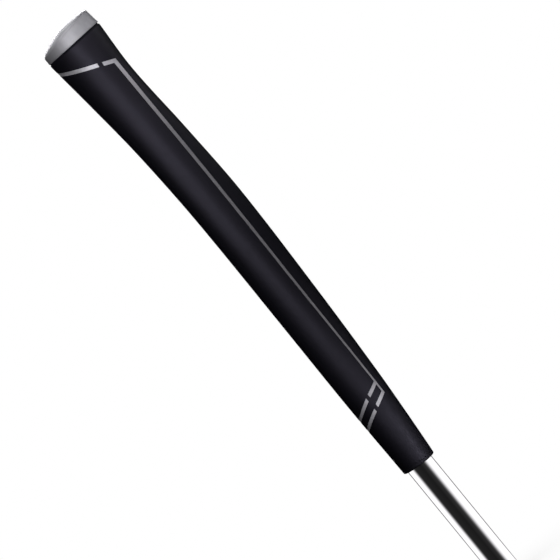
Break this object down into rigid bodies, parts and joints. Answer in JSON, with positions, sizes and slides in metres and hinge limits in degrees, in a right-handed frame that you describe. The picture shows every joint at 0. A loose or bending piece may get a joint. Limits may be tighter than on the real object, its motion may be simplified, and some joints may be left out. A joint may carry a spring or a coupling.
{
  "type": "golf grip",
  "caption": "Pistol-shaped golf putter grip with a flat thumb face, painted grooves and a domed butt cap, taped over the butt end of a chromed steel shaft.",
  "frame": {"origin": "centre of the shaft axis at the mouth of the grip", "axes": "+Z along the shaft axis from the mouth towards the butt cap, -Y out of the flat front (thumb) face, +Y out of the belly of the back, +X out of the right side"},
  "size_m": [0.0326, 0.0348, 0.362],
  "materials": {
    "shaft_chrome": "mirror chrome plate over steel",
    "tape": "crepe paper tape with adhesive",
    "core_rubber": "moulded, satin",
    "felt": "pressed felt",
    "wrap_polyurethane": "soft tacky polyurethane skin with a fine pore grain",
    "seam_sealant": "satin",
    "cap_grey": "satin silver grey",
    "groove_paint": "silver grey paint, satin"
  },
  "bodies": {
    "root": {"shaft_tube": "shaft_chrome", "grip_tape": "tape", "core_sleeve": "core_rubber", "felt_backing": "felt", "outer_wrap": "wrap_polyurethane", "back_seam": "seam_sealant", "butt_cap": "cap_grey", "border_line_right": "groove_paint", "border_line_left": "groove_paint", "butt_chevron": "groove_paint", "mouth_chevron_upper": "groove_paint", "mouth_chevron_lower": "groove_paint"}
  },
  "joints": []
}
